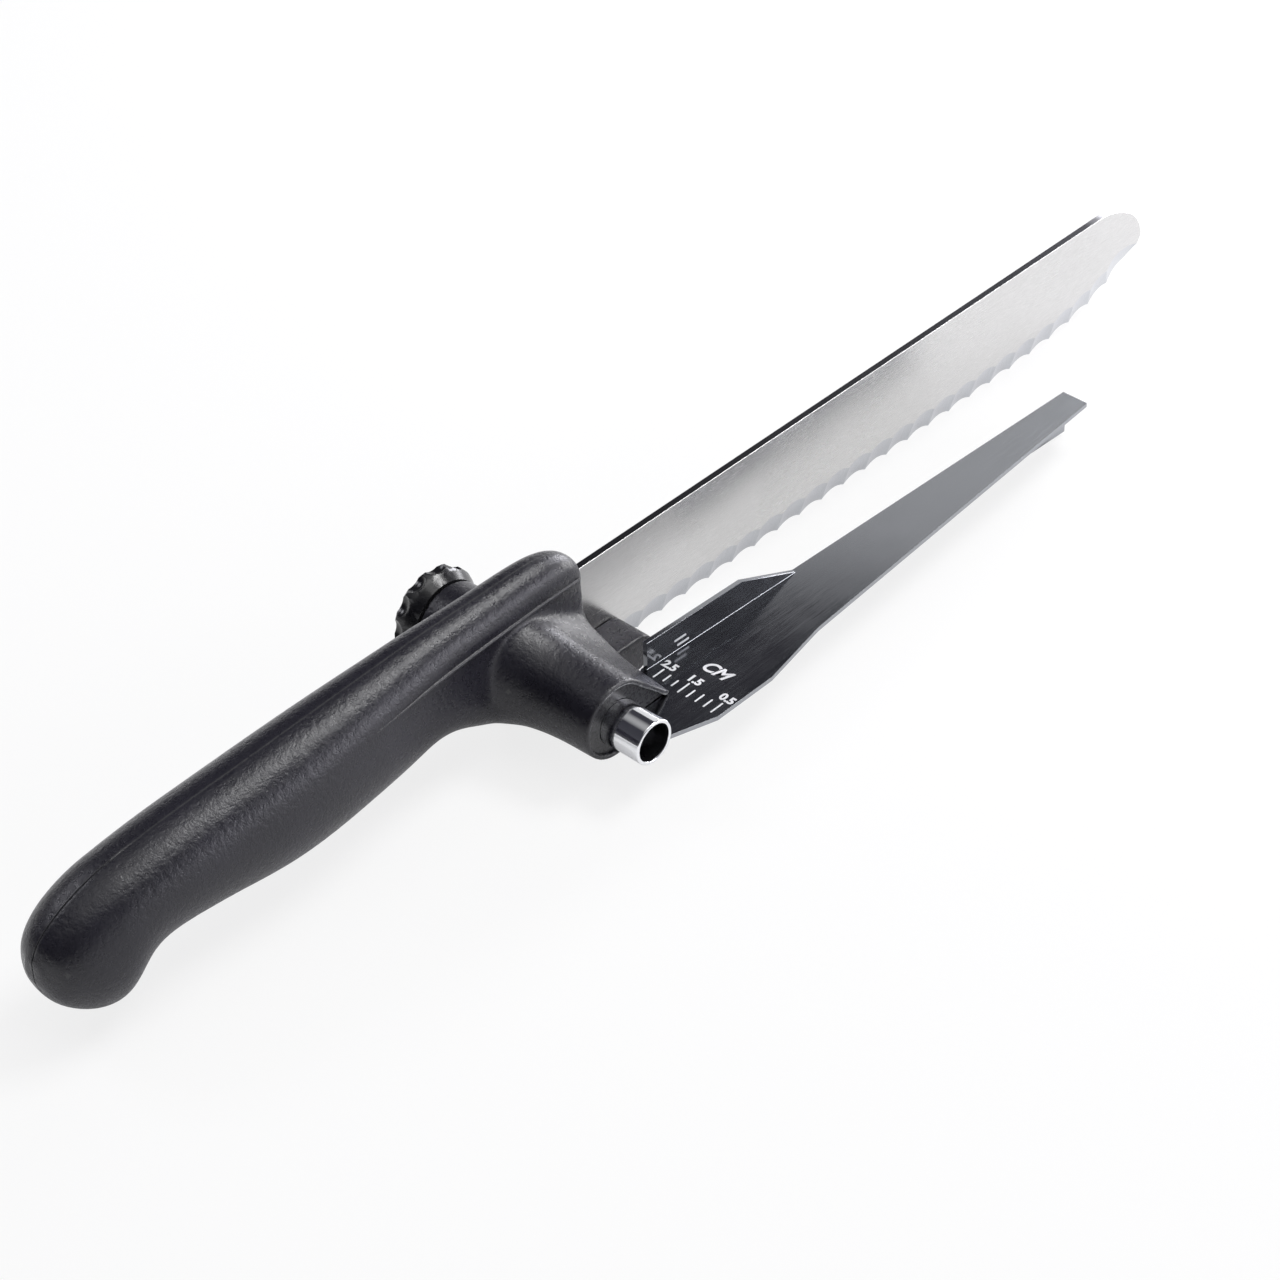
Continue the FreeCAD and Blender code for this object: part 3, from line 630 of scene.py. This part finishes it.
# ---------------------------------------------------------------- scale
# where each tick starts and ends ahead of the handle, from the scale's outer end inwards
TICKS = ((0.1, 3.8), (0.4, 3.2), (0.5, 3.3), (0.4, 3.1),
         (0.3, 4.0), (1.0, 3.1), (1.0, 3.4), (0.6, 3.9))
FIRST_TICK = -41.7
TICK_STEP = 2.5
TICK_WIDTH = 0.42
MARK_HEIGHT = 0.03
LIP_FACE = -21.4            # the right face of the plate's upturned lip, at the handle
LIP_TURN = math.tan(math.radians(2.1))
INCH_HEIGHTS = (-14.6, -16.2)
INCH_ENDS = (10.4, 13.6)
INCH_SLANT = 0.55
INCH_WIDTH = 0.6
# name, words, height, place, slant
WORDS = (
    ("scale_number_05", "0.5", 2.2, (4.7, -41.5), 0.0),
    ("scale_number_15", "1.5", 2.2, (4.8, -31.9), 0.0),
    ("scale_number_25", "2.5", 2.2, (4.8, -24.4), 0.0),
    ("scale_unit", "CM", 3.3, (9.8, -33.0), 0.35),
)
CAPITAL_SHARE = 0.70        # a capital's height by the text's size
WORD_WEIGHT = 0.13
HALF_ROUND = 8              # points round one end of a stroke


def stroke(shape, start, end, width, up):
    """A flat mark with round ends between two places on the drawing."""
    along = (end - start).normalized()
    side = up.cross(along)
    rim = []
    count = 2 * HALF_ROUND
    for index in range(count):
        turn = math.pi * (index + 0.5) / HALF_ROUND - math.pi / 2
        centre = end if index < HALF_ROUND else start
        rim.append(centre + (along * math.cos(turn) + side * math.sin(turn)) * width / 2)
    low = [shape.verts.new((place + ORIGIN) * MM) for place in rim]
    high = [shape.verts.new((place + up * MARK_HEIGHT + ORIGIN) * MM) for place in rim]
    shape.faces.new(high)
    shape.faces.new(list(reversed(low)))
    for index in range(count):
        after = (index + 1) % count
        shape.faces.new((low[index], low[after], high[after], high[index]))


def on_lip(x, z):
    """A place on the right face of the plate's upturned lip."""
    return Vector((x, LIP_FACE - x * LIP_TURN, z))


def add_mark(name, mesh, material):
    add_object(name, mesh, material, "guide")


def scale_marks(material):
    up = Vector((0, 0, 1))
    shape = bmesh.new()
    for index, (back, front) in enumerate(TICKS):
        y = FIRST_TICK + index * TICK_STEP
        stroke(shape, Vector((back, y, PLATE_TOP)), Vector((front, y, PLATE_TOP)), TICK_WIDTH, up)
    add_mark("scale_ticks", finish_mesh("scale_ticks", shape, SMOOTH_DEGREES), material)
    shape = bmesh.new()
    for height in INCH_HEIGHTS:
        shift = (height - INCH_HEIGHTS[0]) * INCH_SLANT
        back, front = (on_lip(x - shift, height) for x in INCH_ENDS)
        stroke(shape, back, front, INCH_WIDTH, Vector((0, -1, 0)))
    add_mark("scale_inch_sign", finish_mesh("scale_inch_sign", shape, SMOOTH_DEGREES), material)
    quarter_turn = Matrix(((0, 1, 0), (-1, 0, 0), (0, 0, 1))).to_4x4()
    for name, words, height, (x, y), slant in WORDS:
        curve = bpy.data.curves.new(name, "FONT")
        curve.body = words
        curve.size = height / CAPITAL_SHARE * MM
        curve.shear = slant
        curve.offset = WORD_WEIGHT * MM
        curve.extrude = MARK_HEIGHT * MM
        curve.align_x = "CENTER"
        mesh = mesh_of(bpy.data.objects.new(name, curve))
        mesh.transform(Matrix.Translation(at(x, y, PLATE_TOP)) @ quarter_turn)
        mesh.name = name
        add_mark(name, mesh, material)


# ---------------------------------------------------------------- floor and light
FLOOR_SIZE = 6.0
FLOOR_COLOUR = 0.90
CAMERA_SHARE = 0.80     # share of plain white that the camera sees in the floor
GLOSS_SHARE = 0.30      # and that reflections see in it
COOL = (0.94, 0.94, 1.0)
# name, azimuth, height in degrees, distance, aim, size, power, colour
LAMPS = (
    ("key", -18, 59, 1.3, (-0.03, 0, 0.02), (0.60, 0.38), 8.5, (1, 1, 1)),
    ("far", 25, 22.2, 0.47, (0.06, 0, 0.02), (0.42, 0.28), 0.255, (1, 1, 1)),
    ("rim", 14, 16, 0.62, (-0.03, 0, 0.02), (0.18, 0.28), 1.6, COOL),
    ("low", -12, 7, 0.75, (0.02, 0, 0.02), (0.36, 0.15), 1.4, (1, 1, 1)),
    ("fill", -70, 72, 1.6, (-0.03, 0, 0.02), (0.8, 0.6), 2.0, (1, 1, 1)),
    ("side", -52, 17, 1.0, (-0.05, 0, 0.02), (0.45, 0.42), 2.75, (0.92, 0.91, 1.0)),
    ("back", 110, 37, 1.2, (-0.06, 0, 0.02), (0.40, 0.30), 1.9, COOL),
)
# The room's walls: (sine of the height above the horizon, colour)
BACK_WALL = ((0.0, (0.40, 0.40, 0.40)), (0.09, (0.30, 0.30, 0.30)), (0.20, (0.06, 0.06, 0.07)),
             (0.78, (0.04, 0.04, 0.05)), (0.95, (0.80, 0.80, 0.80)), (1.0, (1.30, 1.30, 1.30)))
FRONT_WALL = ((0.0, (0.95, 0.95, 0.95)), (0.35, (0.60, 0.60, 0.62)), (0.60, (0.12, 0.12, 0.13)),
              (0.80, (0.10, 0.10, 0.11)), (0.95, (0.80, 0.80, 0.80)), (1.0, (1.30, 1.30, 1.30)))
FRONT_WAY = (0.64, -0.77, 0.0)
FRONT_FULL = 0.8        # directions that point this much the front wall's way see only that wall


def make_floor():
    """A pale floor that the camera and the metal see as white, with the object's shadow kept."""
    mesh = bpy.data.meshes.new("floor")
    shape = bmesh.new()
    bmesh.ops.create_grid(shape, x_segments=8, y_segments=8, size=FLOOR_SIZE)
    shape.to_mesh(mesh)
    shape.free()
    floor = bpy.data.objects.new("floor", mesh)
    bpy.context.scene.collection.objects.link(floor)
    material, tree, shader = new_material("floor_white")
    shader.inputs["Base Color"].default_value = (FLOOR_COLOUR, FLOOR_COLOUR, FLOOR_COLOUR, 1)
    shader.inputs["Roughness"].default_value = 0.9
    shader.inputs["Specular IOR Level"].default_value = 0.1
    glow = tree.nodes.new("ShaderNodeEmission")
    glow.inputs["Color"].default_value = (1, 1, 1, 1)
    path = tree.nodes.new("ShaderNodeLightPath").outputs
    seen = arithmetic(tree, "MAXIMUM", path["Is Camera Ray"], path["Is Glossy Ray"])
    seen = arithmetic(tree, "MAXIMUM", seen, path["Is Transmission Ray"])
    more = arithmetic(tree, "MULTIPLY", path["Is Camera Ray"], CAMERA_SHARE - GLOSS_SHARE)
    share = arithmetic(tree, "MULTIPLY_ADD", seen, GLOSS_SHARE, more)
    mix = tree.nodes.new("ShaderNodeMixShader")
    tree.links.new(share, mix.inputs["Fac"])
    tree.links.new(shader.outputs["BSDF"], mix.inputs[1])
    tree.links.new(glow.outputs["Emission"], mix.inputs[2])
    out = next(node for node in tree.nodes if node.type == "OUTPUT_MATERIAL")
    tree.links.new(mix.outputs["Shader"], out.inputs["Surface"])
    mesh.materials.append(material)


def area_lamp(name, azimuth, height, distance, aim, size, power, colour):
    azimuth, height = math.radians(azimuth), math.radians(height)
    place = (distance * math.cos(height) * math.cos(azimuth),
             distance * math.cos(height) * math.sin(azimuth),
             distance * math.sin(height))
    data = bpy.data.lights.new(name, "AREA")
    data.shape = "RECTANGLE"
    data.size, data.size_y = size
    data.energy = power
    data.color = colour
    lamp = bpy.data.objects.new(name, data)
    bpy.context.scene.collection.objects.link(lamp)
    lamp.location = place
    lamp.rotation_euler = (Vector(aim) - Vector(place)).to_track_quat("-Z", "Y").to_euler()


def make_room():
    """The world: a dim wall behind the object and a light one in front, under a white ceiling."""
    world = bpy.data.worlds.new("world")
    bpy.context.scene.world = world
    world.use_nodes = True
    tree = world.node_tree
    tree.nodes.clear()
    out = tree.nodes.new("ShaderNodeOutputWorld")
    sky = tree.nodes.new("ShaderNodeBackground")
    sky.inputs["Strength"].default_value = 1.0
    tree.links.new(sky.outputs["Background"], out.inputs["Surface"])
    place = tree.nodes.new("ShaderNodeTexCoord")
    split = tree.nodes.new("ShaderNodeSeparateXYZ")
    tree.links.new(place.outputs["Generated"], split.inputs["Vector"])
    toward = tree.nodes.new("ShaderNodeVectorMath")
    toward.operation = "DOT_PRODUCT"
    toward.inputs[1].default_value = FRONT_WAY
    tree.links.new(place.outputs["Generated"], toward.inputs[0])
    side = spread(tree, toward.outputs["Value"], 0.0, 1.0, (0.0, FRONT_FULL))
    walls = mix_colours(tree, side, ramp(tree, split.outputs["Z"], BACK_WALL),
                        ramp(tree, split.outputs["Z"], FRONT_WALL))
    tree.links.new(walls, sky.inputs["Color"])


make_camera()
MATERIALS = make_materials()
# paints the spine's reflection, dark to light along the blade
fade_spine(MATERIALS["spine_painted_reflection"])
dress_nodes(MATERIALS)
moulded_handle(MATERIALS["handle_plastic"])
ridge_beads(MATERIALS["handle_plastic"])
blade = rounded("blade", "handle", MATERIALS["blade_steel"], 0.26,
                pick=lambda place: place.z > SPINE_EDGES, smooth_degrees=BLADE_SMOOTH_DEGREES,
                clean=False)
rounded("guide_plate", "guide", MATERIALS["guide_steel"], 0.18, bend=1.4)
tube = rounded("guide_tube", "guide", MATERIALS["tube_chrome"], 0.16, chamfer=0.5,
               chamfered=lambda place: place.y > TUBE_END and from_axis(place) > TUBE_RADIUS)
rounded("end_clip", "knob", MATERIALS["plain_steel"], 0.12)
rounded("guide_bush", "handle", MATERIALS["bush_plastic"], 0.15)
rounded("knob", "knob", MATERIALS["knob_plastic"], 0.35)
rounded("knob_cap", "knob", MATERIALS["knob_plastic"], 0.25)
scale_marks(MATERIALS["scale_white"])
# the spine gets a painted reflection and the top edges a painted highlight
add_finishes(blade, [MATERIALS[name] for name in ("spine_painted_reflection", "ground_steel", "edge_painted_highlight")],
             blade_finish)
# the tube's bore gets painted shade
add_finishes(tube, [MATERIALS["bore_painted_shade"]], tube_finish)
make_floor()
for lamp in LAMPS:
    area_lamp(*lamp)
make_room()
bpy.context.scene.view_settings.view_transform = "Standard"
